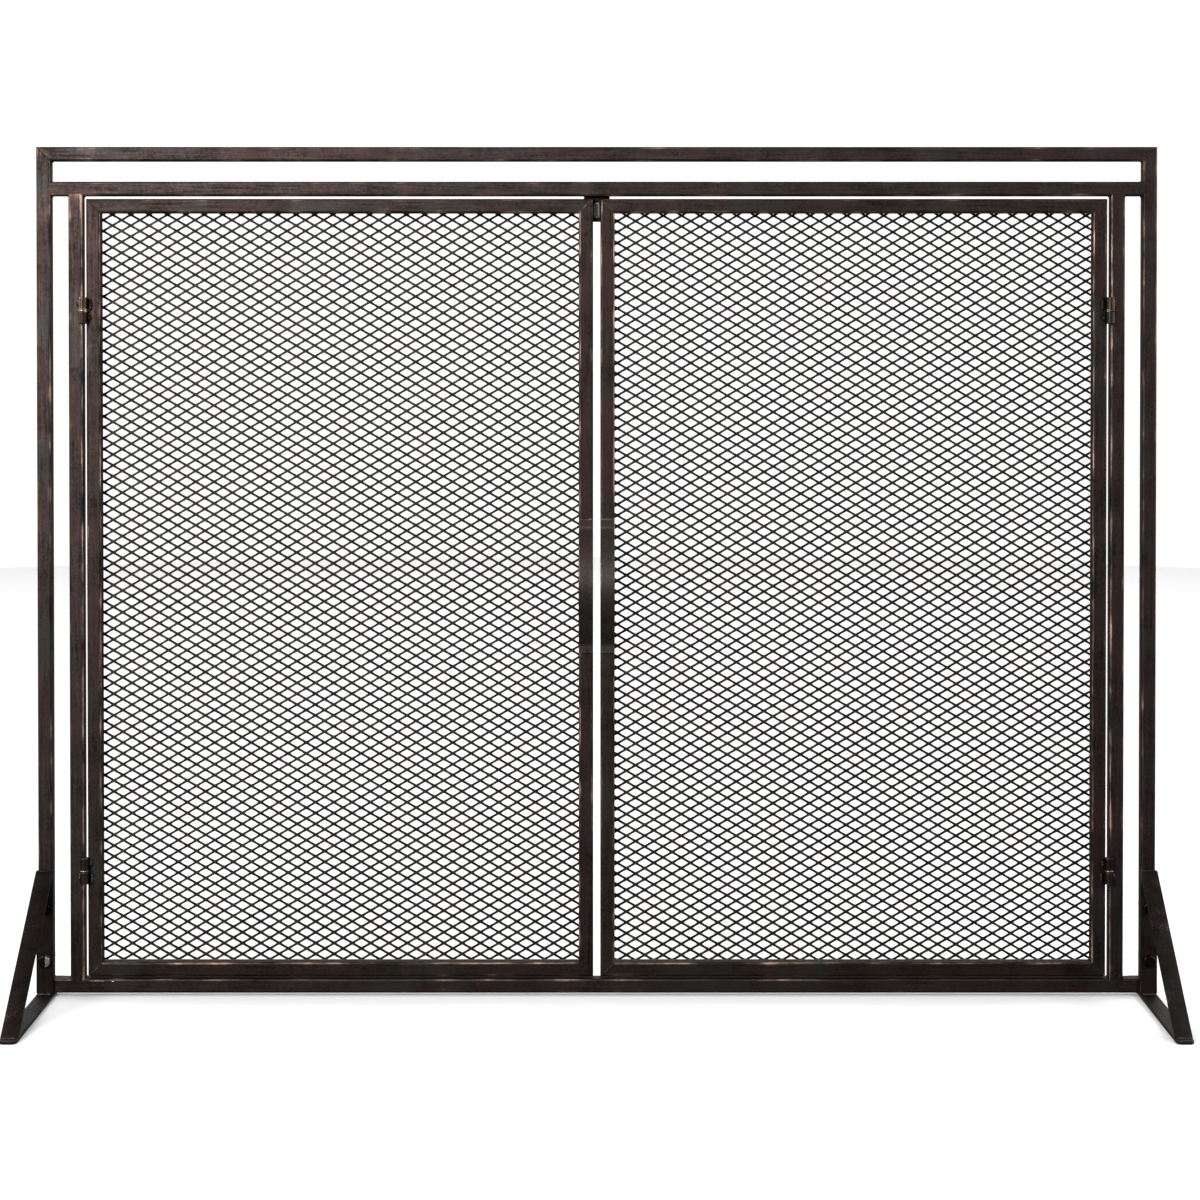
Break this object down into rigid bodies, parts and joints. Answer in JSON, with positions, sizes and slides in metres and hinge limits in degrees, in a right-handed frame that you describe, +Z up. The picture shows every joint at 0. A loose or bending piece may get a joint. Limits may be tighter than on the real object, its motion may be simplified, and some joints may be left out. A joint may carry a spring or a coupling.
{
  "type": "fireplace screen",
  "caption": "Free-standing fireplace screen: flat square-tube frame on triangular feet, with a pair of expanded-mesh doors on barrel hinges, bow handles and a magnetic catch.",
  "frame": {"origin": "on the floor, in the middle of the footprint of the two feet", "axes": "+X to the right as seen from in front, +Y to the back, towards the fire, +Z up; the doors and the long part of the feet face -Y"},
  "size_m": [0.9922, 0.206, 0.753],
  "materials": {
    "frame_paint": "black paint rubbed back to bronze on the edges",
    "door_paint": "black paint rubbed back to bronze on the edges",
    "foot_paint": "black paint with a trace of bronze",
    "mesh_paint": "satin black",
    "hinge_bronze": "bronze showing through worn black paint",
    "bolt_steel": "zinc plated, partly painted over",
    "magnet": "dull grey",
    "catch_plastic": "black"
  },
  "bodies": {
    "frame": {"left_outer_post": "frame_paint", "right_outer_post": "frame_paint", "left_inner_post": "frame_paint", "right_inner_post": "frame_paint", "top_rail": "frame_paint", "second_rail": "frame_paint", "bottom_rail": "frame_paint", "left_foot_base": "foot_paint", "left_foot_upright": "foot_paint", "left_foot_strut": "foot_paint", "right_foot_base": "foot_paint", "right_foot_upright": "foot_paint", "right_foot_strut": "foot_paint", "left_foot_bolt_lower": "bolt_steel", "left_foot_nut_lower": "bolt_steel", "left_foot_bolt_upper": "bolt_steel", "left_foot_nut_upper": "bolt_steel", "right_foot_bolt_lower": "bolt_steel", "right_foot_nut_lower": "bolt_steel", "right_foot_bolt_upper": "bolt_steel", "right_foot_nut_upper": "bolt_steel", "catch_bracket": "foot_paint", "catch_case": "catch_plastic", "catch_magnet": "magnet", "catch_screw_left": "bolt_steel", "catch_screw_right": "bolt_steel", "left_top_hinge_post_knuckle": "hinge_bronze", "left_bottom_hinge_post_knuckle": "hinge_bronze", "left_bottom_hinge_pin": "bolt_steel", "left_bottom_hinge_washer": "bolt_steel", "right_top_hinge_post_knuckle": "hinge_bronze", "right_bottom_hinge_post_knuckle": "hinge_bronze", "right_bottom_hinge_pin": "bolt_steel", "right_bottom_hinge_washer": "bolt_steel"},
    "left_door": {"left_door_hinge_stile": "door_paint", "left_door_meeting_stile": "door_paint", "left_door_top_rail": "door_paint", "left_door_bottom_rail": "door_paint", "left_door_mesh": "mesh_paint", "left_door_handle": "door_paint", "left_top_hinge_door_knuckle": "hinge_bronze", "left_top_hinge_pin": "bolt_steel", "left_top_hinge_washer": "bolt_steel", "left_bottom_hinge_door_knuckle": "hinge_bronze"},
    "right_door": {"right_door_hinge_stile": "door_paint", "right_door_meeting_stile": "door_paint", "right_door_top_rail": "door_paint", "right_door_bottom_rail": "door_paint", "right_door_mesh": "mesh_paint", "right_door_handle": "door_paint", "right_top_hinge_door_knuckle": "hinge_bronze", "right_top_hinge_pin": "bolt_steel", "right_top_hinge_washer": "bolt_steel", "right_bottom_hinge_door_knuckle": "hinge_bronze"}
  },
  "joints": [
    {"name": "left_door_hinge", "type": "hinge", "parent": "frame", "child": "left_door", "pos_m": [-0.453, 0.03795, 0.36], "axis": [0, 0, -1], "range_deg": [0, 100]},
    {"name": "right_door_hinge", "type": "hinge", "parent": "frame", "child": "right_door", "pos_m": [0.453, 0.03795, 0.36], "axis": [0, 0, 1], "range_deg": [0, 100]}
  ]
}
